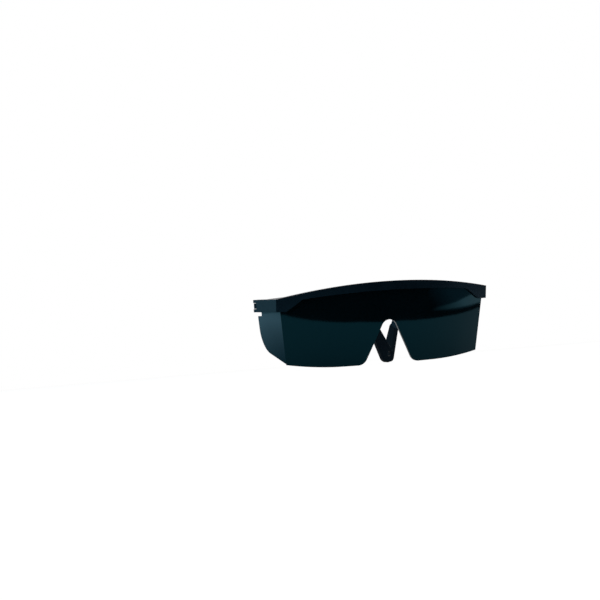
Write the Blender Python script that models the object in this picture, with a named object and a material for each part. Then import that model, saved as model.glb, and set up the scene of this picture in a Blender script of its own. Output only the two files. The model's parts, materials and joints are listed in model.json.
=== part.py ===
"""Wrap-around welding goggles: brow bar, dark one-piece lens and two folding, tilting, sliding temples.

The front is drawn in its own frame: +X to the right as seen from the front, +Y to the rear,
+Z up, with the origin at the middle of the bar's outer face.  That frame is then pitched so the
lens lobes and both ear tips stand on one plane.
"""
import math

import bmesh
import bpy
from mathutils import Matrix, Vector

MM = 0.001

# Clearances
GAP = 0.3 * MM                 # between faces that touch on the real piece
PIN_GAP = 0.15 * MM            # round a hinge pin

# Brow bar
BAR_HALF_WIDTH = 70.6 * MM     # centre to the outer corner
BAR_SWEEP = 14.2 * MM          # how far the corner lies behind the middle
BAR_CROWN = 7.3 * MM           # rise of the top edge from corner to middle
BAR_DEPTH = 5.8 * MM           # front to back at the middle
BAR_FRONT_WALL = 1.6 * MM
BAR_TOP_WALL = 1.8 * MM
ARCH_MIDDLE = 1.7 * MM         # lower edge at the middle, above the corner's top
ARCH_DROP = 2.6 * MM           # fall of the lower edge from the middle to the flare
FLARE_START = 54.5 * MM
FLARE_END = 64.5 * MM
TAB_HALF_WIDTH = 12.0 * MM
TAB_DEPTH = 1.2 * MM
LEAN = 0.214                   # the front face runs back by this share of its fall

# End blocks, turned back from the corners
BLOCK_LENGTH = 39.6 * MM
BLOCK_HEIGHT = 8.1 * MM
BLOCK_THICKNESS = 6.6 * MM
BLOCK_OUTER_WALL = 2.6 * MM
BLOCK_SPLAY = math.radians(12.3)
CHANNEL_END = 31.0 * MM        # where the lens channel stops, along the block

# Lens
LENS_THICKNESS = 2.0 * MM
LENS_TAPER = 0.10              # each fold line moves in by this share of its fall
LOBE_LOW = 45.4 * MM           # lowest stretch of the lens, below the corner's top
LOBE_FLAT = 30.0 * MM          # half width at which the lower edge starts to rise
LOBE_CORNER = 41.7 * MM        # depth of the lower edge at the fold
SHIELD_LENGTH = 36.9 * MM
SHIELD_TOP = 10.8 * MM         # depth of the shield's free upper edge
SHIELD_LOW = 32.4 * MM         # depth of the corner that the rear curve rounds off
SHIELD_ROUND = 17.0 * MM
SLOT_ROUND = 1.0 * MM

# Nose notch and the saddle moulded round it
NOTCH_APEX = 17.1 * MM
NOTCH_ROUND = 5.0 * MM
NOTCH_ANGLE = math.radians(24.9)
NOSE_CORNER_ROUND = 6.0 * MM
SADDLE_DEPTH = 6.0 * MM
SADDLE_WALL = 1.5 * MM
SADDLE_SPLAY = 2.2 * MM
SADDLE_LOW = 36.0 * MM

# Fold hinge
EAR_THICKNESS = 2.0 * MM
HINGE_PIN_RADIUS = 0.9 * MM
HINGE_REACH = 4.4 * MM         # from the fold axis to the hinge block's shoulder
HINGE_BODY = 2.4 * MM

# Tilt hinge
TILT_TONGUE = 2.2 * MM
TILT_PIN_RADIUS = 0.8 * MM

# Temple sleeve
SLEEVE_WIDTH = 5.0 * MM
SLEEVE_HEIGHT = 7.7 * MM
SLEEVE_SIDE_WALL = 0.8 * MM
SLEEVE_CAP_WALL = 1.0 * MM
SLEEVE_ROUND = 1.1 * MM
SLEEVE_END = 47.6 * MM         # from the tilt axis
SLEEVE_FLOOR = 12.0 * MM       # where the hollow starts, from the tilt axis
CLICK_PITCH = 4.0 * MM
CLICK_COUNT = 5
CLICK_SLOT_WIDTH = 2.0 * MM
CLICK_DEPTH = 0.45 * MM

# Temple arm
SLIDE_TRAVEL = 8.0 * MM        # each way
ARM_INSERTED = 26.0 * MM
BEND_START = 57.4 * MM         # from the tilt axis
BEND_RADIUS = 29.4 * MM
BEND_ANGLE = math.radians(54.5)
HOOK_LENGTH = 26.0 * MM        # from the end of the bend to the cord hole
ARM_ROUND = 0.6 * MM

# Ear tip
TIP_LENGTH = 24.0 * MM         # from the cord hole back up the hook
TIP_RADIUS = 5.2 * MM
TIP_NECK = 6.8 * MM            # width where the tip meets the arm
TIP_DROOP = 1.8 * MM           # how far the round end sits below the hook's centre line
TIP_THICKNESS = 3.6 * MM
TIP_HOLE_RADIUS = 1.9 * MM
TANG_LENGTH = 12.0 * MM
TANG_THICKNESS = 1.4 * MM
TANG_WIDTH = 4.0 * MM

# How the goggles stand
FRONT_PITCH = math.radians(4.9)
FOLD_LEFT = math.radians(70.5)     # inward from straight back
FOLD_RIGHT = math.radians(18.9)

# Values that follow
BAR_RADIUS = (BAR_HALF_WIDTH**2 + BAR_SWEEP**2) / (2 * BAR_SWEEP)
CHANNEL = LENS_THICKNESS + 2 * GAP
LENS_FACE = BAR_FRONT_WALL + GAP
SHIELD_FACE = BLOCK_OUTER_WALL + GAP
EAR_RADIUS = BLOCK_THICKNESS / 2
HINGE_ALONG = BLOCK_LENGTH - EAR_RADIUS
BLOCK_MIDDLE = BLOCK_HEIGHT / 2
TILT_ROUND = SLEEVE_HEIGHT / 2
TILT_REACH = HINGE_REACH + HINGE_BODY + TILT_ROUND + GAP
ARM_THICKNESS = SLEEVE_WIDTH - 2 * SLEEVE_SIDE_WALL - 2 * GAP
ARM_HEIGHT = SLEEVE_HEIGHT - 2 * SLEEVE_CAP_WALL - 2 * GAP
FAR = 120 * MM                 # past everything, for cutters
SIDE_NAMES = {-1: "left", 1: "right"}


def clear_scene():
    for item in list(bpy.data.objects):
        bpy.data.objects.remove(item, do_unlink=True)


def make_collection(name):
    collection = bpy.data.collections.new(name)
    bpy.context.scene.collection.children.link(collection)
    return collection


def make_material(name, colour, roughness, alpha=1.0):
    material = bpy.data.materials.new(name)
    material.use_nodes = True
    shader = material.node_tree.nodes["Principled BSDF"]
    shader.inputs["Base Color"].default_value = (*colour, 1.0)
    shader.inputs["Roughness"].default_value = roughness
    shader.inputs["Metallic"].default_value = 1.0 if name == "pin_steel" else 0.0
    shader.inputs["Alpha"].default_value = alpha
    return material


# ---------------------------------------------------------------- outlines

def rounded(corners, steps=6):
    """Turn (a, b, radius) corners into points, each corner an arc of its radius."""
    points = []
    for index, (a, b, radius) in enumerate(corners):
        here = Vector((a, b))
        if radius == 0:
            points.append(here)
            continue
        before = Vector(corners[index - 1][:2]) - here
        after = Vector(corners[(index + 1) % len(corners)][:2]) - here
        before.normalize()
        after.normalize()
        half = before.angle(after) / 2
        centre = here + (before + after).normalized() * radius / math.sin(half)
        start = here + before * radius / math.tan(half) - centre
        turn = math.pi - 2 * half
        if start.x * before.y - start.y * before.x > 0:
            turn = -turn
        for step in range(steps + 1):
            angle = turn * step / steps
            cos, sin = math.cos(angle), math.sin(angle)
            points.append(centre + Vector((start.x * cos - start.y * sin,
                                           start.x * sin + start.y * cos)))
    return points


def plan_depth(x):
    """Depth of the bar's outer face behind its middle."""
    reach = min(abs(x), BAR_HALF_WIDTH)
    return BAR_RADIUS - math.sqrt(BAR_RADIUS**2 - reach**2)


def bar_top(x):
    return BAR_CROWN * (1 - min(abs(x) / BAR_HALF_WIDTH, 1) ** 2)


def block_line(offset, length):
    """A point on the line set in from the right end block's outer face."""
    along = Vector((math.sin(BLOCK_SPLAY), math.cos(BLOCK_SPLAY)))
    inward = Vector((-math.cos(BLOCK_SPLAY), math.sin(BLOCK_SPLAY)))
    return Vector((BAR_HALF_WIDTH, BAR_SWEEP)) + inward * offset + along * length


def inner_corner(front_offset, block_offset):
    """Where the arc set in from the bar's face meets the line set in from the block's face."""
    centre = Vector((0, BAR_RADIUS))
    start = block_line(block_offset, 0) - centre
    along = Vector((math.sin(BLOCK_SPLAY), math.cos(BLOCK_SPLAY)))
    b = start.dot(along)
    c = start.dot(start) - (BAR_RADIUS - front_offset) ** 2
    roots = (-b - math.sqrt(b * b - c), -b + math.sqrt(b * b - c))
    return block_line(block_offset, min(roots, key=abs))


def plan_line(front_offset, block_offset, length, steps=28):
    """Half of a plan line, from the middle out to the corner and back along the block."""
    corner = inner_corner(front_offset, block_offset)
    radius = BAR_RADIUS - front_offset
    sweep = math.asin(corner.x / radius)
    points = []
    for step in range(steps + 1):
        angle = sweep * step / steps
        points.append(Vector((radius * math.sin(angle), BAR_RADIUS - radius * math.cos(angle))))
    points.append(block_line(block_offset, length))
    return points


def plan_band(outer, inner, length):
    """Closed plan outline between two (front offset, block offset) pairs, on both sides."""
    outside = plan_line(*outer, length)
    inside = plan_line(*inner, length)
    mirrored = [Vector((-point.x, point.y)) for point in reversed(outside[1:])]
    mirrored_inside = [Vector((-point.x, point.y)) for point in inside[1:]]
    return mirrored + outside + list(reversed(inside)) + mirrored_inside


# ---------------------------------------------------------------- solids

PLAN = Matrix.Identity(4)
FRONT = Matrix.Rotation(math.radians(90), 4, "X")
SIDE = Matrix(((0, 0, 1, 0), (1, 0, 0, 0), (0, 1, 0, 0), (0, 0, 0, 1)))


def evaluated_mesh(item):
    graph = bpy.context.evaluated_depsgraph_get()
    return bpy.data.meshes.new_from_object(item.evaluated_get(graph))


def prism(name, outline, low, high, view, collection):
    """Extrude a flat outline between two depths, then turn it to its view."""
    curve = bpy.data.curves.new(name, "CURVE")
    curve.dimensions = "2D"
    curve.fill_mode = "BOTH"
    curve.extrude = (high - low) / 2
    spline = curve.splines.new("POLY")
    spline.points.add(len(outline) - 1)
    for point, (a, b) in zip(spline.points, outline):
        point.co = (a, b, 0, 1)
    spline.use_cyclic_u = True
    flat = bpy.data.objects.new(name + "_outline", curve)
    collection.objects.link(flat)
    mesh = evaluated_mesh(flat)
    bpy.data.objects.remove(flat, do_unlink=True)
    mesh.name = name
    mesh.transform(view @ Matrix.Translation((0, 0, (high + low) / 2)))
    form = bmesh.new()
    form.from_mesh(mesh)
    bmesh.ops.remove_doubles(form, verts=form.verts, dist=0.001 * MM)
    bmesh.ops.recalc_face_normals(form, faces=form.faces)
    form.to_mesh(mesh)
    form.free()
    solid = bpy.data.objects.new(name, mesh)
    collection.objects.link(solid)
    return solid


def loft(name, rings, collection):
    """Close a stack of rings that have the same number of points into one solid."""
    form = bmesh.new()
    rows = [[form.verts.new(point) for point in ring] for ring in rings]
    for low, high in zip(rows, rows[1:]):
        for index in range(len(low)):
            after = (index + 1) % len(low)
            form.faces.new((low[index], low[after], high[after], high[index]))
    form.faces.new(list(reversed(rows[0])))
    form.faces.new(rows[-1])
    bmesh.ops.recalc_face_normals(form, faces=form.faces)
    mesh = bpy.data.meshes.new(name)
    form.to_mesh(mesh)
    form.free()
    solid = bpy.data.objects.new(name, mesh)
    collection.objects.link(solid)
    return solid


def rod(name, radius, low, high, axis, centre, collection, sides=24):
    """A round bar along X or Z through a centre."""
    turn = Matrix.Rotation(math.radians(90), 4, "Y") if axis == "X" else Matrix.Identity(4)
    shift = Vector((1, 0, 0)) if axis == "X" else Vector((0, 0, 1))
    form = bmesh.new()
    bmesh.ops.create_cone(form, cap_ends=True, segments=sides, radius1=radius, radius2=radius,
                          depth=high - low)
    mesh = bpy.data.meshes.new(name)
    form.to_mesh(mesh)
    form.free()
    middle = Vector(centre) + shift * (high + low) / 2
    mesh.transform(Matrix.Translation(middle) @ turn)
    solid = bpy.data.objects.new(name, mesh)
    collection.objects.link(solid)
    return solid


def combine(target, other, operation):
    """Apply one exact Boolean to the target and drop the other solid."""
    modifier = target.modifiers.new(operation.lower(), "BOOLEAN")
    modifier.operation = operation
    modifier.solver = "EXACT"
    modifier.object = other
    bpy.context.view_layer.update()
    mesh = evaluated_mesh(target)
    target.modifiers.clear()
    target.data = mesh
    bpy.data.objects.remove(other, do_unlink=True)


def finish(target, name, material, parent):
    target.name = name
    target.data.name = name
    target.data.materials.clear()
    target.data.materials.append(material)
    target.data.set_sharp_from_angle(angle=math.radians(35))
    target.parent = parent


def lean(item):
    """Shear a solid so that its front runs back as it falls."""
    shear = Matrix.Identity(4)
    shear[1][2] = -LEAN
    item.data.transform(shear)


# ---------------------------------------------------------------- front

def hinge_place(side):
    """Fold axis in the front's frame, for side -1 (left) or 1 (right)."""
    place = block_line(EAR_RADIUS, HINGE_ALONG)
    return Vector((side * place.x, place.y, -BLOCK_MIDDLE))


def block_frame(side):
    """Turn that carries +Y along one end block, through its fold axis."""
    return (Matrix.Translation(hinge_place(side))
            @ Matrix.Rotation(-side * BLOCK_SPLAY, 4, "Z"))


def arch_low(x):
    return ARCH_MIDDLE - ARCH_DROP * (x / FLARE_START) ** 2


def bar_outline():
    """Front view of the bar: crowned top, arched lower edge, flares down to the end blocks."""
    steps = 24
    top = []
    arch = []
    for step in range(steps + 1):
        x = BAR_HALF_WIDTH * step / steps
        top.append(Vector((x, bar_top(x))))
        x = FLARE_START * step / steps
        arch.append(Vector((x, arch_low(x))))
    right = top + [Vector((FAR, 0)), Vector((FAR, -BLOCK_HEIGHT)), Vector((FLARE_END, -BLOCK_HEIGHT))]
    right += reversed(arch)
    left = [Vector((-point.x, point.y)) for point in reversed(right)]
    return right[:-1] + left[:-1]


def channel_outline(drop):
    """Everything more than drop below the bar's top edge."""
    steps = 24
    points = [Vector((-FAR, -FAR)), Vector((FAR, -FAR)), Vector((FAR, -drop))]
    for step in range(2 * steps + 1):
        x = BAR_HALF_WIDTH * (1 - step / steps)
        points.append(Vector((x, bar_top(x) - drop)))
    points.append(Vector((-FAR, -drop)))
    return points


def make_brow_bar(parts, material, parent):
    """Channel-section bar, open below for the lens, with the end blocks and their forks."""
    reach = BLOCK_LENGTH + 4 * MM
    bar = prism("bar", plan_band((0, 0), (BAR_DEPTH, BLOCK_THICKNESS), reach),
                -BLOCK_HEIGHT - 5 * MM, BAR_CROWN + 5 * MM, PLAN, parts)
    combine(bar, prism("front_view", bar_outline(), -FAR, FAR, FRONT, parts), "INTERSECT")

    tab_top = ARCH_MIDDLE + 1 * MM
    tab_low = ARCH_MIDDLE - TAB_DEPTH
    tab = prism("tab", [Vector((-TAB_HALF_WIDTH, tab_top)), Vector((-TAB_HALF_WIDTH + 1 * MM, tab_low)),
                        Vector((TAB_HALF_WIDTH - 1 * MM, tab_low)), Vector((TAB_HALF_WIDTH, tab_top))],
                -FAR, FAR, FRONT, parts)
    lip = prism("lip", plan_band((BAR_FRONT_WALL + CHANNEL, BLOCK_OUTER_WALL + CHANNEL),
                                 (BAR_DEPTH, BLOCK_THICKNESS), reach), -FAR, FAR, PLAN, parts)
    combine(tab, lip, "INTERSECT")
    combine(bar, tab, "UNION")

    groove = prism("groove", plan_band((BAR_FRONT_WALL, BLOCK_OUTER_WALL),
                                       (BAR_FRONT_WALL + CHANNEL, BLOCK_OUTER_WALL + CHANNEL),
                                       CHANNEL_END), -FAR / 4, FAR / 4, PLAN, parts)
    under = prism("under", channel_outline(BAR_TOP_WALL), -FAR, FAR, FRONT, parts)
    combine(groove, under, "INTERSECT")
    combine(bar, groove, "DIFFERENCE")
    lean(bar)

    for side in (-1, 1):
        place = block_frame(side)
        wide = 3 * EAR_RADIUS
        rear = [Vector((-wide, 0)), Vector((-EAR_RADIUS, 0))]
        for step in range(1, 16):
            angle = math.pi * step / 16
            rear.append(Vector((-EAR_RADIUS * math.cos(angle), EAR_RADIUS * math.sin(angle))))
        rear += [Vector((EAR_RADIUS, 0)), Vector((wide, 0)), Vector((wide, wide)), Vector((-wide, wide))]
        trim = prism("trim", rear, -FAR / 4, FAR / 4, PLAN, parts)
        trim.data.transform(place)
        combine(bar, trim, "DIFFERENCE")
        slot_half = BLOCK_MIDDLE - EAR_THICKNESS
        slot = prism("slot", [Vector((-wide, -EAR_RADIUS - GAP)), Vector((wide, -EAR_RADIUS - GAP)),
                              Vector((wide, wide)), Vector((-wide, wide))],
                     -slot_half, slot_half, PLAN, parts)
        slot.data.transform(place)
        combine(bar, slot, "DIFFERENCE")
        hole = rod("hole", HINGE_PIN_RADIUS + PIN_GAP, -BLOCK_HEIGHT, BLOCK_HEIGHT, "Z", (0, 0, 0), parts)
        hole.data.transform(place)
        combine(bar, hole, "DIFFERENCE")
    finish(bar, "brow_bar", material, parent)
    return bar


def lens_low(x):
    """Lower edge of the lens between nose corner and fold."""
    fold = inner_corner(LENS_FACE, SHIELD_FACE).x
    rise = max(abs(x) - LOBE_FLAT, 0) / (fold - LOBE_FLAT)
    return -LOBE_LOW + (LOBE_LOW - LOBE_CORNER) * rise**2


def notch_peak():
    """Height at which the notch's two flanks would cross."""
    return -NOTCH_APEX + NOTCH_ROUND * (1 / math.sin(NOTCH_ANGLE) - 1)


def notch_half_width(z):
    return (notch_peak() - z) * math.tan(NOTCH_ANGLE)


def lens_cut_outline():
    """Front view of what is cut away below the lens, with the nose notch."""
    steps = 16
    fold = inner_corner(LENS_FACE, SHIELD_FACE).x
    right = []
    for step in range(steps):
        x = fold - (fold - LOBE_FLAT) * step / steps
        right.append((x, lens_low(x), 0))
    right.append((notch_half_width(-LOBE_LOW), -LOBE_LOW, NOSE_CORNER_ROUND))
    left = [(-x, z, radius) for x, z, radius in reversed(right)]
    corners = [(-FAR, -FAR, 0), (FAR, -FAR, 0), (FAR, -LOBE_CORNER, 0)]
    corners += right + [(0, notch_peak(), NOTCH_ROUND)] + left + [(-FAR, -LOBE_CORNER, 0)]
    return rounded(corners, 8)


def shield_outline():
    """Side view of what is kept of the lens, drawn along one side shield."""
    corner = inner_corner(LENS_FACE, SHIELD_FACE).y
    tongue = block_line(BLOCK_OUTER_WALL, CHANNEL_END).y - 2 * GAP
    rear = block_line(BLOCK_OUTER_WALL, SHIELD_LENGTH).y
    return rounded([
        (-FAR, FAR, 0),
        (tongue, FAR, 0),
        (tongue, -SHIELD_TOP, SLOT_ROUND),
        (rear, -SHIELD_TOP, SLOT_ROUND),
        (rear, -SHIELD_LOW, SHIELD_ROUND),
        (corner, -LOBE_CORNER, 0),
        (corner, -FAR, 0),
        (-FAR, -FAR, 0),
    ], 10)


def saddle_ring(depth, spread):
    """One section of the nose saddle, depth behind the lens's middle plane."""
    line = []
    steps = 10
    low = -SADDLE_LOW
    peak = notch_peak() + spread / math.sin(NOTCH_ANGLE)
    corners = [((peak - low) * math.tan(NOTCH_ANGLE), low, 0), (0, peak, NOTCH_ROUND + spread),
               (-(peak - low) * math.tan(NOTCH_ANGLE), low, 0)]
    inner = rounded(corners, steps)
    outer_peak = peak + SADDLE_WALL / math.sin(NOTCH_ANGLE)
    outer_corners = [((outer_peak - low) * math.tan(NOTCH_ANGLE), low, 0),
                     (0, outer_peak, NOTCH_ROUND + spread + SADDLE_WALL),
                     (-(outer_peak - low) * math.tan(NOTCH_ANGLE), low, 0)]
    outer = rounded(outer_corners, steps)
    for point in inner + list(reversed(outer)):
        back = plan_depth(point.x) + LENS_FACE + LENS_THICKNESS / 2 + depth
        line.append(Vector((point.x, back, point.y)))
    return line


def make_lens(parts, material, parent):
    """One dark sheet: curved front, crisp folds, side shields and a moulded nose saddle."""
    outer = (LENS_FACE, SHIELD_FACE)
    inner = (LENS_FACE + LENS_THICKNESS, SHIELD_FACE + LENS_THICKNESS)
    lens = prism("lens", plan_band(outer, inner, SHIELD_LENGTH + 6 * MM),
                 -LOBE_LOW - 3 * MM, BAR_CROWN + 3 * MM, PLAN, parts)
    combine(lens, prism("side_view", shield_outline(), -FAR, FAR, SIDE, parts), "INTERSECT")
    below = prism("below_bar", channel_outline(BAR_TOP_WALL + GAP), -FAR, FAR, FRONT, parts)
    combine(lens, below, "INTERSECT")

    form = bmesh.new()
    form.from_mesh(lens.data)
    everything = list(form.verts) + list(form.edges) + list(form.faces)
    bmesh.ops.bisect_plane(form, geom=everything, plane_co=(0, 0, -BLOCK_HEIGHT), plane_no=(0, 0, 1),
                           dist=0.001 * MM)
    for vert in form.verts:
        fall = max(-BLOCK_HEIGHT - vert.co.z, 0)
        vert.co.x *= 1 - LENS_TAPER * fall / BAR_HALF_WIDTH
    form.to_mesh(lens.data)
    form.free()

    combine(lens, prism("cut_view", lens_cut_outline(), -FAR, FAR, FRONT, parts), "DIFFERENCE")
    saddle = loft("saddle", [saddle_ring(0, GAP), saddle_ring(SADDLE_DEPTH, GAP + SADDLE_SPLAY)], parts)
    combine(lens, saddle, "UNION")
    lean(lens)
    finish(lens, "lens", material, parent)
    return lens


# ---------------------------------------------------------------- temples

def make_hinge_pin(parts, material, side, parent):
    reach = BLOCK_MIDDLE - GAP
    name = "hinge_pin_" + SIDE_NAMES[side]
    pin = rod(name, HINGE_PIN_RADIUS, -reach, reach, "Z", (0, 0, 0), parts)
    finish(pin, name, material, parent)
    pin.location = hinge_place(side)


def make_hinge_block(parts, material, side, parent):
    """Flat knuckle for the fold pin, square shoulder, upright tongue for the tilt pin."""
    half = BLOCK_THICKNESS / 2 - GAP
    knuckle_half = BLOCK_MIDDLE - EAR_THICKNESS - GAP
    knuckle_outline = [Vector((half, HINGE_REACH + 1 * MM)), Vector((-half, HINGE_REACH + 1 * MM))]
    for step in range(17):
        angle = math.pi * step / 16
        knuckle_outline.append(Vector((-half * math.cos(angle), -half * math.sin(angle))))
    block = prism("knuckle", knuckle_outline, -knuckle_half, knuckle_half, PLAN, parts)
    body_half = SLEEVE_HEIGHT / 2
    body = prism("body", [Vector((-half, HINGE_REACH)), Vector((half, HINGE_REACH)),
                          Vector((half, HINGE_REACH + HINGE_BODY)), Vector((-half, HINGE_REACH + HINGE_BODY))],
                 -body_half, body_half, PLAN, parts)
    combine(block, body, "UNION")
    round_end = TILT_ROUND - GAP
    tongue_outline = [Vector((HINGE_REACH + HINGE_BODY / 2, round_end)),
                      Vector((HINGE_REACH + HINGE_BODY / 2, -round_end))]
    for step in range(17):
        angle = -math.pi / 2 + math.pi * step / 16
        tongue_outline.append(Vector((TILT_REACH + round_end * math.cos(angle), round_end * math.sin(angle))))
    tongue = prism("tongue", tongue_outline, -TILT_TONGUE / 2, TILT_TONGUE / 2, SIDE, parts)
    combine(block, tongue, "UNION")
    combine(block, rod("hole", HINGE_PIN_RADIUS + PIN_GAP, -BLOCK_HEIGHT, BLOCK_HEIGHT, "Z",
                       (0, 0, 0), parts), "DIFFERENCE")
    combine(block, rod("hole", TILT_PIN_RADIUS + PIN_GAP, -BLOCK_HEIGHT, BLOCK_HEIGHT, "X",
                       (0, TILT_REACH, 0), parts), "DIFFERENCE")
    finish(block, "hinge_block_" + SIDE_NAMES[side], material, parent)


def make_tilt_pin(parts, material, side, parent):
    reach = SLEEVE_WIDTH / 2 - GAP
    name = "tilt_pin_" + SIDE_NAMES[side]
    pin = rod(name, TILT_PIN_RADIUS, -reach, reach, "X", (0, 0, 0), parts)
    finish(pin, name, material, parent)


def rounded_box_outline(half_a, half_b, radius):
    return rounded([(-half_a, -half_b, radius), (half_a, -half_b, radius),
                    (half_a, half_b, radius), (-half_a, half_b, radius)], 4)


def make_sleeve(parts, material, side, parent):
    """Hollow rail with a fork at its root and a clicking slot along its underside."""
    sleeve = prism("sleeve", rounded_box_outline(SLEEVE_WIDTH / 2, SLEEVE_HEIGHT / 2, SLEEVE_ROUND),
                   -SLEEVE_END, TILT_ROUND, FRONT, parts)
    stadium = [Vector((SLEEVE_END + 1 * MM, -SLEEVE_HEIGHT)), Vector((SLEEVE_END + 1 * MM, SLEEVE_HEIGHT)),
               Vector((0, SLEEVE_HEIGHT)), Vector((0, TILT_ROUND))]
    for step in range(1, 16):
        angle = math.pi / 2 + math.pi * step / 16
        stadium.append(Vector((TILT_ROUND * math.cos(angle), TILT_ROUND * math.sin(angle))))
    stadium += [Vector((0, -TILT_ROUND)), Vector((0, -SLEEVE_HEIGHT))]
    combine(sleeve, prism("side_view", stadium, -SLEEVE_WIDTH, SLEEVE_WIDTH, SIDE, parts), "INTERSECT")
    fork_floor = TILT_ROUND + GAP
    fork_half = TILT_TONGUE / 2 + GAP
    fork = prism("fork", [Vector((-fork_half, -SLEEVE_HEIGHT)), Vector((fork_half, -SLEEVE_HEIGHT)),
                          Vector((fork_half, fork_floor)), Vector((-fork_half, fork_floor))],
                 -SLEEVE_HEIGHT, SLEEVE_HEIGHT, PLAN, parts)
    combine(sleeve, fork, "DIFFERENCE")
    hollow = prism("hollow", rounded_box_outline(ARM_THICKNESS / 2 + GAP, ARM_HEIGHT / 2 + GAP,
                                                 ARM_ROUND), -FAR, -SLEEVE_FLOOR, FRONT, parts)
    combine(sleeve, hollow, "DIFFERENCE")
    combine(sleeve, rod("hole", TILT_PIN_RADIUS + PIN_GAP, -SLEEVE_WIDTH, SLEEVE_WIDTH, "X",
                        (0, 0, 0), parts), "DIFFERENCE")
    slot_half = CLICK_SLOT_WIDTH / 2
    first = nub_place() - SLIDE_TRAVEL - GAP - slot_half
    last = nub_place() + SLIDE_TRAVEL + GAP + slot_half
    slot = prism("slot", rounded([(-slot_half, first, slot_half * 0.9), (slot_half, first, slot_half * 0.9),
                                  (slot_half, last, slot_half * 0.9), (-slot_half, last, slot_half * 0.9)], 5),
                 -SLEEVE_HEIGHT, -SLEEVE_HEIGHT / 2 + 1.4 * SLEEVE_CAP_WALL, PLAN, parts)
    combine(sleeve, slot, "DIFFERENCE")
    for index in range(CLICK_COUNT):
        place = nub_place() + (index - (CLICK_COUNT - 1) / 2) * CLICK_PITCH
        click = rod("click", CLICK_DEPTH, -SLEEVE_WIDTH, SLEEVE_WIDTH, "X",
                    (0, place, -SLEEVE_HEIGHT / 2), parts, 12)
        combine(sleeve, click, "DIFFERENCE")
    finish(sleeve, "temple_sleeve_" + SIDE_NAMES[side], material, parent)


def nub_place():
    """The arm's click nub, along the sleeve, with the slide at its middle."""
    return SLEEVE_END - ARM_INSERTED / 2


def bend_line(offset, start, stop, steps):
    """Points beside the bend's centre line, offset upward, between two shares of the bend."""
    points = []
    for step in range(steps + 1):
        angle = BEND_ANGLE * (start + (stop - start) * step / steps)
        radius = BEND_RADIUS + offset
        points.append(Vector((BEND_START + radius * math.sin(angle), radius * math.cos(angle) - BEND_RADIUS)))
    return points


def hook_point(along, offset):
    """A point along the hook from the bend's end, offset to its upper side."""
    cos, sin = math.cos(BEND_ANGLE), math.sin(BEND_ANGLE)
    base = Vector((BEND_START + BEND_RADIUS * sin, -BEND_RADIUS * (1 - cos)))
    return base + Vector((cos, -sin)) * along + Vector((sin, cos)) * offset


def make_arm(parts, material, side, parent):
    """Flat slider, bent down behind the ear, with a tang for the soft tip."""
    half = ARM_HEIGHT / 2
    inner_end = SLEEVE_END - ARM_INSERTED
    tip_start = HOOK_LENGTH - TIP_LENGTH - GAP
    neck = TIP_NECK / 2
    outline = [Vector((inner_end, -half)), Vector((inner_end, half))]
    outline += bend_line(half, 0, 1, 12)
    outline += [hook_point(tip_start, neck), hook_point(tip_start, -neck)]
    outline += reversed(bend_line(-half, 0, 1, 12))
    arm = prism("arm", outline, -ARM_THICKNESS / 2, ARM_THICKNESS / 2, SIDE, parts)
    tang_end = tip_start + TANG_LENGTH
    tang_half = TANG_WIDTH / 2
    tang = prism("tang", [hook_point(tip_start - 2 * MM, -tang_half), hook_point(tip_start - 2 * MM, tang_half),
                          hook_point(tang_end, tang_half), hook_point(tang_end, -tang_half)],
                 -TANG_THICKNESS / 2, TANG_THICKNESS / 2, SIDE, parts)
    combine(arm, tang, "UNION")
    nub = rod("nub", CLICK_SLOT_WIDTH / 2 - GAP, -SLEEVE_HEIGHT / 2 + GAP, 0, "Z",
              (0, nub_place(), 0), parts, 16)
    combine(arm, nub, "UNION")
    finish(arm, "temple_arm_" + SIDE_NAMES[side], material, parent)


def make_ear_tip(parts, material, side, parent):
    """Soft paddle pushed onto the arm's tang, with a cord hole near its round end."""
    start = HOOK_LENGTH - TIP_LENGTH
    neck = TIP_NECK / 2
    outline = [hook_point(start, -neck), hook_point(start, neck)]
    upper_flare = math.atan((TIP_RADIUS - TIP_DROOP - neck) / TIP_LENGTH)
    lower_flare = math.atan((TIP_RADIUS + TIP_DROOP - neck) / TIP_LENGTH)
    first, last = math.pi / 2 + upper_flare, -math.pi / 2 - lower_flare
    for step in range(19):
        angle = first + (last - first) * step / 18
        outline.append(hook_point(HOOK_LENGTH + TIP_RADIUS * math.cos(angle),
                                  TIP_RADIUS * math.sin(angle) - TIP_DROOP))
    tip = prism("tip", outline, -TIP_THICKNESS / 2, TIP_THICKNESS / 2, SIDE, parts)
    pocket_end = HOOK_LENGTH - TIP_LENGTH - GAP + TANG_LENGTH + GAP
    pocket_half = TANG_WIDTH / 2 + GAP
    pocket = prism("pocket", [hook_point(start - 2 * MM, -pocket_half), hook_point(start - 2 * MM, pocket_half),
                              hook_point(pocket_end, pocket_half), hook_point(pocket_end, -pocket_half)],
                   -TANG_THICKNESS / 2 - GAP, TANG_THICKNESS / 2 + GAP, SIDE, parts)
    combine(tip, pocket, "DIFFERENCE")
    hole_centre = hook_point(HOOK_LENGTH, 0)
    hole = rod("hole", TIP_HOLE_RADIUS, -TIP_THICKNESS, TIP_THICKNESS, "X",
               (0, hole_centre.x, hole_centre.y), parts)
    combine(tip, hole, "DIFFERENCE")
    finish(tip, "ear_tip_" + SIDE_NAMES[side], material, parent)


# ---------------------------------------------------------------- standing

def floor_height():
    """Lowest level of the pitched lens, on its outer face."""
    levels = []
    for step in range(61):
        x = LOBE_FLAT + (inner_corner(LENS_FACE, SHIELD_FACE).x - LOBE_FLAT) * step / 60
        z = lens_low(x)
        y = plan_depth(x) + LENS_FACE - LEAN * z
        levels.append(y * math.sin(FRONT_PITCH) + z * math.cos(FRONT_PITCH))
    return min(levels)


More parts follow.
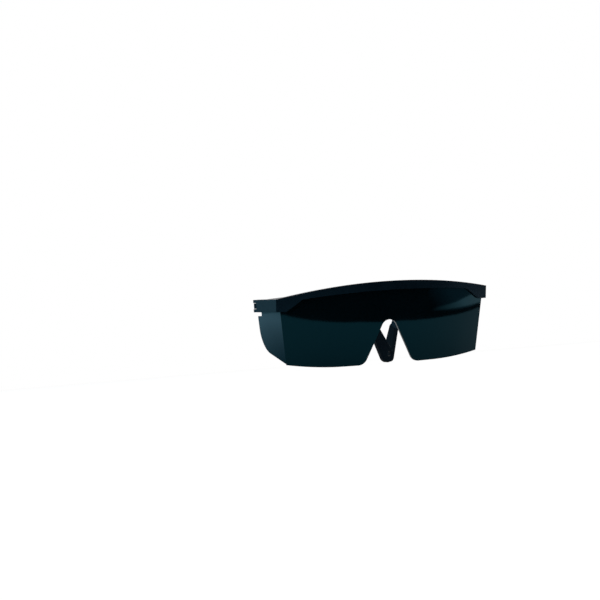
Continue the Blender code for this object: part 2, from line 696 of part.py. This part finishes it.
def tilt_to_floor(side, fold):
    """Tilt that lets an ear tip down onto the plane under the lens."""
    hinge = hinge_place(side)
    pitch_sin, pitch_cos = math.sin(FRONT_PITCH), math.cos(FRONT_PITCH)
    out_of_plane = pitch_sin * math.sin(fold)
    lowest = TIP_RADIUS * math.sqrt(1 - out_of_plane**2) + TIP_THICKNESS / 2 * abs(out_of_plane)
    target = floor_height() + lowest
    centre = hook_point(HOOK_LENGTH, -TIP_DROOP)
    a = pitch_sin * math.cos(fold) * centre.x + pitch_cos * centre.y
    b = pitch_sin * math.cos(fold) * centre.y - pitch_cos * centre.x
    c = target - pitch_sin * (hinge.y + TILT_REACH * math.cos(fold)) - pitch_cos * hinge.z
    middle, swing = math.atan2(b, a), math.acos(c / math.hypot(a, b))
    return min((middle + swing, middle - swing), key=abs)


def make_empty(name, parent, place, turn, collection):
    empty = bpy.data.objects.new(name, None)
    empty.empty_display_size = 5 * MM
    empty.parent = parent
    empty.location = place
    empty.rotation_euler = turn
    collection.objects.link(empty)
    return empty


def stand_on_origin(root, parts):
    """Move the whole object so that the middle of its footprint is at the origin."""
    bpy.context.view_layer.update()
    graph = bpy.context.evaluated_depsgraph_get()
    places = []
    for item in parts.objects:
        if item.type == "MESH":
            solid = item.evaluated_get(graph)
            places += [solid.matrix_world @ vert.co for vert in solid.data.vertices]
    low = [min(place[axis] for place in places) for axis in range(3)]
    high = [max(place[axis] for place in places) for axis in range(3)]
    root.location = (-(low[0] + high[0]) / 2, -(low[1] + high[1]) / 2, -low[2])


def build():
    clear_scene()
    parts = make_collection("welding_goggles")
    frame_nylon = make_material("frame_nylon", (0.004, 0.012, 0.018), 0.42)
    lens_green = make_material("lens_green", (0.006, 0.026, 0.034), 0.08)
    temple_nylon = make_material("temple_nylon", (0.005, 0.014, 0.021), 0.40)
    tip_rubber = make_material("tip_rubber", (0.003, 0.008, 0.013), 0.6)
    pin_steel = make_material("pin_steel", (0.45, 0.46, 0.47), 0.3)

    root = make_empty("goggles_root", None, (0, 0, 0), (0, 0, 0), parts)
    front = make_empty("front", root, (0, 0, 0), (FRONT_PITCH, 0, 0), parts)
    make_brow_bar(parts, frame_nylon, front)
    make_lens(parts, lens_green, front)
    for side, fold in ((-1, FOLD_LEFT), (1, FOLD_RIGHT)):
        name = SIDE_NAMES[side]
        make_hinge_pin(parts, pin_steel, side, front)
        fold_axis = make_empty("fold_axis_" + name, front, hinge_place(side), (0, 0, side * fold), parts)
        make_hinge_block(parts, frame_nylon, side, fold_axis)
        tilt = tilt_to_floor(side, fold)
        tilt_axis = make_empty("tilt_axis_" + name, fold_axis, (0, TILT_REACH, 0), (-tilt, 0, 0), parts)
        make_tilt_pin(parts, pin_steel, side, tilt_axis)
        make_sleeve(parts, temple_nylon, side, tilt_axis)
        make_arm(parts, temple_nylon, side, tilt_axis)
        make_ear_tip(parts, tip_rubber, side, tilt_axis)
    stand_on_origin(root, parts)


build()
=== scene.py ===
import json
import math

import bmesh
import bpy
from mathutils import Matrix, Vector


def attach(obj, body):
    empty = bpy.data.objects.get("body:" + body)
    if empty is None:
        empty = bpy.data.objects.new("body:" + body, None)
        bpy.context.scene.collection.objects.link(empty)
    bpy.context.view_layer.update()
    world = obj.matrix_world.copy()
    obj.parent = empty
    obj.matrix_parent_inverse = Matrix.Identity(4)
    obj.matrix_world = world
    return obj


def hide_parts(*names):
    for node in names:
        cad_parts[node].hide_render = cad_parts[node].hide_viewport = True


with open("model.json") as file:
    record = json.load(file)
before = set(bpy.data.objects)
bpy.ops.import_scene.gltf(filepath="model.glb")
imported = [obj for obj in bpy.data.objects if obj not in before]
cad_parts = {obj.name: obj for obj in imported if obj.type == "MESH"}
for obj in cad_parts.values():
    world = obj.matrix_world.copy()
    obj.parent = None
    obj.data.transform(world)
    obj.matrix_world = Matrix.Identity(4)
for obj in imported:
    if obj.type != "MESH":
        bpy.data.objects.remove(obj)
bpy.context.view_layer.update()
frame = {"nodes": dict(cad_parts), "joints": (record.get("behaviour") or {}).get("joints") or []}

MM = 0.001

# ---------------------------------------------------------------- brow bar
# The arched bar is one injection-moulded nylon channel with the end blocks turned back in it.
# The lens snaps up into it from below; every outer edge has a small moulded radius.

BAR_EDGE = 0.35 * MM
WELD = 0.004 * MM
NYLON_DARK = (0.0006, 0.0026, 0.0048, 1.0)
NYLON_PALE = (0.0014, 0.0046, 0.0076, 1.0)


class Value:
    """A socket that adds Math nodes when it is used in an expression."""

    def __init__(self, tree, socket):
        self.tree = tree
        self.socket = socket

    def math(self, operation, first, second):
        node = self.tree.nodes.new("ShaderNodeMath")
        node.operation = operation
        for place, item in enumerate((first, second)):
            if isinstance(item, Value):
                self.tree.links.new(item.socket, node.inputs[place])
            else:
                node.inputs[place].default_value = item
        return Value(self.tree, node.outputs[0])

    def __add__(self, other):
        return self.math("ADD", self, other)

    def __radd__(self, other):
        return self.math("ADD", other, self)

    def __mul__(self, other):
        return self.math("MULTIPLY", self, other)

    def __rmul__(self, other):
        return self.math("MULTIPLY", other, self)


class Finish:
    """A material with a Principled shader, and one method that adds any other node."""

    def __init__(self, name, **constants):
        self.material = bpy.data.materials.new(name)
        self.material.use_nodes = True
        self.tree = self.material.node_tree
        self.shader = self.tree.nodes["Principled BSDF"]
        for socket, value in constants.items():
            self.shader.inputs[socket.replace("_", " ")].default_value = value

    def node(self, kind, settings=None, inputs=None, output=0):
        made = self.tree.nodes.new(kind)
        for name, value in (settings or {}).items():
            if name == "stops":
                ramp = made.color_ramp.elements
                while len(ramp) < len(value):
                    ramp.new(0.5)
                for element, (place, colour) in zip(ramp, value):
                    element.position = place
                    element.color = colour
            else:
                setattr(made, name, value)
        for name, value in (inputs or {}).items():
            self.feed(made.inputs[name], value)
        return Value(self.tree, made.outputs[output])

    def feed(self, socket, value):
        if isinstance(value, Value):
            self.tree.links.new(value.socket, socket)
        else:
            socket.default_value = value

    def set(self, socket, value):
        self.feed(self.shader.inputs[socket], value)

    def place(self):
        """Object coordinates in metres."""
        return self.node("ShaderNodeTexCoord", output="Object")

    def noise(self, scale, detail=3.0, roughness=0.5):
        return self.node("ShaderNodeTexNoise", {"noise_dimensions": "3D"},
                         {"Vector": self.place(), "Scale": scale, "Detail": detail, "Roughness": roughness})

    def ramp(self, value, low, high, dark, pale):
        return self.node("ShaderNodeValToRGB", {"stops": ((low, dark), (high, pale))}, {"Fac": value})

    def bump(self, height, strength, distance):
        self.set("Normal", self.node("ShaderNodeBump", None,
                                     {"Height": height, "Strength": strength, "Distance": distance}))


def refined(node, edge, name, body, sharp=32, segments=3):
    """A welded copy of a CAD node with rounded edges that stands for that node."""
    source = frame["nodes"][node]
    mesh = source.data.copy()
    mesh.name = name
    form = bmesh.new()
    form.from_mesh(mesh)
    bmesh.ops.remove_doubles(form, verts=form.verts, dist=WELD)
    bmesh.ops.dissolve_limit(form, angle_limit=math.radians(0.15), verts=form.verts, edges=form.edges)
    corners = [item for item in form.edges
               if len(item.link_faces) == 2 and item.calc_face_angle(0) > math.radians(sharp)]
    bmesh.ops.bevel(form, geom=corners, offset=edge, offset_type="OFFSET", affect="EDGES",
                    segments=segments, profile=0.5, material=-1, clamp_overlap=True)
    form.to_mesh(mesh)
    form.free()
    mesh.shade_smooth()
    mesh.set_sharp_from_angle(angle=math.radians(sharp))
    piece = bpy.data.objects.new(name, mesh)
    bpy.context.scene.collection.objects.link(piece)
    weighted = piece.modifiers.new("flat_faces", "WEIGHTED_NORMAL")
    weighted.keep_sharp = True
    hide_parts(node)
    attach(piece, body)
    return piece


def dress(piece, finish):
    piece.data.materials.clear()
    piece.data.materials.append(finish.material)


def nylon(name, dark, pale, roughness, shine=0.28):
    """Satin moulded nylon: fine grain, faint flow marks and a slightly uneven sheen."""
    finish = Finish(name, IOR=1.40, Specular_IOR_Level=shine)
    finish.shader.inputs["Specular Tint"].default_value = (0.20, 0.62, 1.0, 1.0)
    flow = finish.noise(55.0, 4.0, 0.55)
    grain = finish.noise(5200.0, 2.0, 0.6)
    finish.set("Base Color", finish.ramp(flow, 0.35, 0.7, dark, pale))
    finish.set("Roughness", flow * 0.14 + (grain * 0.08 + (roughness - 0.10)))
    finish.bump(grain * 0.7 + flow * 0.3, 0.22, 0.02 * MM)
    return finish


bar = refined("brow_bar", BAR_EDGE, "brow_bar_moulding", "front")
bar_nylon = nylon("bar_nylon", NYLON_DARK, NYLON_PALE, 0.40)
dress(bar, bar_nylon)

# ---------------------------------------------------------------- lens
# One sheet of very dark green polycarbonate, 2 mm thick, folded back into two side shields.
# Its polished faces reflect strongly; the nose saddle is moulded on behind the notch.

LENS_EDGE = 0.25 * MM
LENS_DEEP = (0.0002, 0.0014, 0.0022, 1.0)
LENS_TEAL = (0.0004, 0.0019, 0.0029, 1.0)

lens = refined("lens", LENS_EDGE, "lens_sheet", "front", sharp=28)
polycarbonate = Finish("lens_polycarbonate", IOR=1.58, Specular_IOR_Level=0.20)
polycarbonate.shader.inputs["Specular Tint"].default_value = (0.10, 0.72, 1.0, 1.0)
haze = polycarbonate.noise(38.0, 3.0, 0.5)
polycarbonate.set("Base Color", polycarbonate.ramp(haze, 0.3, 0.7, LENS_DEEP, LENS_TEAL))
polycarbonate.set("Roughness", haze * 0.05 + 0.045)
ripple = polycarbonate.noise(90.0, 1.0, 0.3)
polycarbonate.bump(ripple, 0.12, 0.05 * MM)
dress(lens, polycarbonate)

# ---------------------------------------------------------------- temples
# Each temple is a hinge block, a hollow sleeve, a sliding arm bent behind the ear and a soft tip.
# The two pins are drawn steel wire; the plastic pieces are the same satin nylon as the bar.

temple_nylon = nylon("temple_nylon", (0.0008, 0.0032, 0.0058, 1.0), (0.0016, 0.0052, 0.0084, 1.0), 0.38)
tip_soft = nylon("tip_soft", (0.0004, 0.0014, 0.0028, 1.0), (0.0010, 0.0028, 0.0048, 1.0), 0.56, 0.12)
wire = Finish("pin_wire", Metallic=1.0, Base_Color=(0.52, 0.53, 0.54, 1.0))
scratches = wire.noise(3000.0, 2.0, 0.6)
wire.set("Roughness", scratches * 0.2 + 0.22)

TIP_EDGE = 0.5 * MM
ARM_EDGE = 0.45 * MM
BLOCK_EDGE = 0.3 * MM
SLEEVE_EDGE = 0.2 * MM
PIN_EDGE = 0.2 * MM
HOOK_ANGLE = math.radians(54.5)
SEAM = 0.27 * MM
PLANE_MARGIN = 0.02 * MM
joints = {joint["name"]: joint for joint in frame["joints"]}


def close_mouth(tip, side):
    """Draw the tip's open end up to the arm's shoulder, where the soft tip presses on it."""
    along_arm = Vector(joints["length_" + side]["axis"])
    down = Matrix.Rotation(HOOK_ANGLE, 3, Vector(joints["tilt_" + side]["axis"])) @ along_arm
    if down.z > along_arm.z:
        down = Matrix.Rotation(-HOOK_ANGLE, 3, Vector(joints["tilt_" + side]["axis"])) @ along_arm
    mouth = min(vert.co.dot(down) for vert in tip.data.vertices)
    for vert in tip.data.vertices:
        if vert.co.dot(down) < mouth + TIP_EDGE + PLANE_MARGIN:
            vert.co -= down * SEAM


for side in ("left", "right"):
    pin = refined("hinge_pin_" + side, PIN_EDGE, "fold_pin_" + side, "front", segments=2)
    dress(pin, wire)
    pin = refined("tilt_pin_" + side, PIN_EDGE, "cross_pin_" + side, "hinge_" + side, segments=2)
    dress(pin, wire)
    block = refined("hinge_block_" + side, BLOCK_EDGE, "hinge_block_moulding_" + side, "hinge_" + side)
    dress(block, bar_nylon)
    sleeve = refined("temple_sleeve_" + side, SLEEVE_EDGE, "sleeve_moulding_" + side, "temple_" + side)
    dress(sleeve, temple_nylon)
    arm = refined("temple_arm_" + side, ARM_EDGE, "arm_moulding_" + side, "arm_" + side)
    dress(arm, temple_nylon)
    tip = refined("ear_tip_" + side, TIP_EDGE, "ear_tip_moulding_" + side, "arm_" + side)
    close_mouth(tip, side)
    dress(tip, tip_soft)

# ---------------------------------------------------------------- stage
# A pale floor that keeps a faint shadow, and a dark flag lying in front, which only reflections see: the flag is
# a painted dark reflection that makes the black upper zone of the lens and bar front.

FLOOR_SIZE = 6.0
PAPER_GLOW = 1.06
PAPER_WHITENING = 0.86
FLAG_LEVEL = 0.4 * MM


def flat_sheet(name, corners, level):
    form = bmesh.new()
    ring = [form.verts.new((x, y, level)) for x, y in corners]
    form.faces.new(ring)
    mesh = bpy.data.meshes.new(name)
    form.to_mesh(mesh)
    form.free()
    sheet = bpy.data.objects.new(name, mesh)
    bpy.context.scene.collection.objects.link(sheet)
    return sheet


half = FLOOR_SIZE / 2
floor = flat_sheet("floor", ((-half, -half), (half, -half), (half, half), (-half, half)), 0.0)
paper = Finish("floor_paper", Base_Color=(0.80, 0.80, 0.80, 1.0), Roughness=0.9)
glow = paper.node("ShaderNodeEmission", None, {"Color": (1.0, 1.0, 1.0, 1.0), "Strength": PAPER_GLOW})
rays = paper.node("ShaderNodeLightPath", None, None, "Is Camera Ray")
lit = paper.node("ShaderNodeMixShader", None, {"Fac": rays * PAPER_WHITENING})
paper.tree.links.new(paper.shader.outputs[0], lit.socket.node.inputs[1])
paper.tree.links.new(glow.socket, lit.socket.node.inputs[2])
paper.tree.links.new(lit.socket, paper.tree.nodes["Material Output"].inputs["Surface"])
floor.data.materials.append(paper.material)



def card(name, sheet, colour):
    """A sheet that only reflections see, glowing at one plain level."""
    paint = Finish(name)
    light = paint.node("ShaderNodeEmission", None, {"Color": (*colour, 1.0), "Strength": 1.0})
    paint.tree.links.new(light.socket, paint.tree.nodes["Material Output"].inputs["Surface"])
    sheet.data.materials.append(paint.material)
    sheet.visible_camera = False
    sheet.visible_diffuse = False
    sheet.visible_shadow = False
    sheet.visible_transmission = False
    return paint


def fade_across(name, sheet, start, full, colour):
    """A card that brightens to the right, from black at start to its colour at full."""
    paint = card(name, sheet, colour)
    across = paint.node("ShaderNodeSeparateXYZ", None, {"Vector": paint.place()}, "X")
    glow = paint.tree.nodes["Emission"]
    paint.feed(glow.inputs["Color"], paint.ramp(across, start, full, (0.0, 0.0, 0.0, 1.0), (*colour, 1.0)))


# The near-black flag is seen only in reflections; its edge shapes the painted dark reflection across the lens's
# upper part.
FLAG_EDGE = ((-0.9, -0.02), (-0.3, -0.088), (-0.099, -0.107), (-0.050, -0.110), (-0.014, -0.112), (0.031, -0.109),
             (0.062, -0.103), (0.084, -0.098), (0.112, -0.090), (0.141, -0.082), (0.30, -0.02), (0.9, 0.25))
flag = flat_sheet("flag", FLAG_EDGE + ((0.9, -0.9), (-0.9, -0.9)), FLAG_LEVEL)
card("flag_painted_dark_reflection", flag, (0.001, 0.001, 0.001))
# Two glowing strips seen only in reflections paint the pale glossy streaks on the lens under the bar's right end:
# painted highlights, and the pale strip glows brighter than white.
dim_strip = flat_sheet("dim_strip", ((0.053, -0.114), (0.072, -0.118), (0.089, -0.142), (0.103, -0.140),
                                     (0.148, -0.121), (0.230, -0.100), (0.240, -0.060), (0.144, -0.086),
                                     (0.119, -0.094), (0.084, -0.106)), 2 * FLAG_LEVEL)
fade_across("dim_strip_painted_reflection", dim_strip, 0.078, 0.120, (0.22, 0.31, 0.36))
pale_strip = flat_sheet("pale_strip", ((0.060, -0.1125), (0.084, -0.112), (0.113, -0.107), (0.146, -0.104),
                                       (0.200, -0.092), (0.190, -0.072), (0.144, -0.087), (0.119, -0.096),
                                       (0.084, -0.107)), 3 * FLAG_LEVEL)
fade_across("pale_strip_painted_highlight", pale_strip, 0.070, 0.125, (1.6, 1.6, 1.6))

# Two grey-green glowing cards to the left rear, which only reflections see: one lies on the floor, one stands
# behind it.
SHADE_CARD = ((-0.9, -0.05), (-0.076, -0.05), (-0.066, 0.03), (-0.066, 0.9), (-0.9, 0.9))
shade = flat_sheet("shade_card", SHADE_CARD, FLAG_LEVEL)
shade_paint = card("shade_card_painted_shadow_and_reflection", shade, (0.1, 0.3, 0.45))
# The floor card glows darker near the glasses and paler away from them: a painted shadow, and further out a
# painted reflection, which reflections carry onto the lower side shield.
spread = shade_paint.node("ShaderNodeMapping", None, {"Vector": shade_paint.place(), "Scale": (-2.2, 2.2, 0.0)})
ahead_part = shade_paint.node("ShaderNodeTexGradient", {"gradient_type": "DIAGONAL"}, {"Vector": spread})
fade = shade_paint.ramp(ahead_part, 0.10, 0.75, (0.04, 0.14, 0.20, 1.0), (0.30, 0.62, 0.80, 1.0))
shade_glow = shade_paint.tree.nodes["Emission"]
shade_paint.feed(shade_glow.inputs["Color"], fade)
# The standing card glows plain teal-grey: a painted reflection on the hinge block sides, the shield tops and the
# bar.
stand = flat_sheet("standing_card", ((-0.8, -0.45), (0.3, -0.45), (0.3, 0.0), (-0.8, 0.0)), 0.0)
stand.data.transform(Matrix.Translation((-0.42, 0.48, 0.0)) @ Matrix.Rotation(math.radians(48), 4, "Z")
                     @ Matrix.Rotation(math.radians(-90), 4, "X"))
card("standing_card_painted_reflection", stand, (0.17, 0.42, 0.54))

world = bpy.data.worlds.new("studio")
bpy.context.scene.world = world
world.use_nodes = True
sky = world.node_tree
background = sky.nodes["Background"]
path = sky.nodes.new("ShaderNodeLightPath")
level = sky.nodes.new("ShaderNodeMapRange")
sky.links.new(path.outputs["Is Diffuse Ray"], level.inputs["Value"])
level.inputs["To Min"].default_value = 1.0
level.inputs["To Max"].default_value = 0.55
sky.links.new(level.outputs["Result"], background.inputs["Strength"])
background.inputs["Color"].default_value = (1.0, 1.0, 1.0, 1.0)


def softbox(name, place, target, size, power):
    lamp = bpy.data.lights.new(name, "AREA")
    lamp.shape = "DISK"
    lamp.size = size
    lamp.energy = power
    item = bpy.data.objects.new(name, lamp)
    item.location = place
    item.rotation_euler = (Vector(target) - Vector(place)).to_track_quat("-Z", "Y").to_euler()
    bpy.context.scene.collection.objects.link(item)
    item.visible_glossy = False
    return item


softbox("key", (-0.5, -0.7, 0.9), (0, 0, 0.03), 0.7, 7.0)
softbox("fill", (0.9, -0.3, 0.6), (0, 0, 0.03), 0.6, 3.0)

# Camera low in front, left of the middle, rolled a little so that the right end stands higher.
VIEW_SWING = math.radians(13.078)
VIEW_RISE = math.radians(-3.60)
VIEW_ROLL = math.radians(4.705)
VIEW_DISTANCE = 0.6619
VIEW_TARGET = Vector((-0.0501, -0.040, 0.0455))
LENS_LENGTH = 61.03

camera_data = bpy.data.cameras.new("camera")
camera_data.lens = LENS_LENGTH
camera_data.sensor_width = 36.0
camera_data.clip_start = 0.01
camera = bpy.data.objects.new("camera", camera_data)
ahead = Vector((math.sin(VIEW_SWING) * math.cos(VIEW_RISE), math.cos(VIEW_SWING) * math.cos(VIEW_RISE),
                -math.sin(VIEW_RISE)))
turn = ahead.to_track_quat("-Z", "Y").to_matrix() @ Matrix.Rotation(-VIEW_ROLL, 3, "Z")
camera.matrix_world = Matrix.Translation(VIEW_TARGET - ahead * VIEW_DISTANCE) @ turn.to_4x4()
bpy.context.scene.collection.objects.link(camera)
bpy.context.scene.camera = camera
bpy.context.scene.view_settings.view_transform = "Standard"
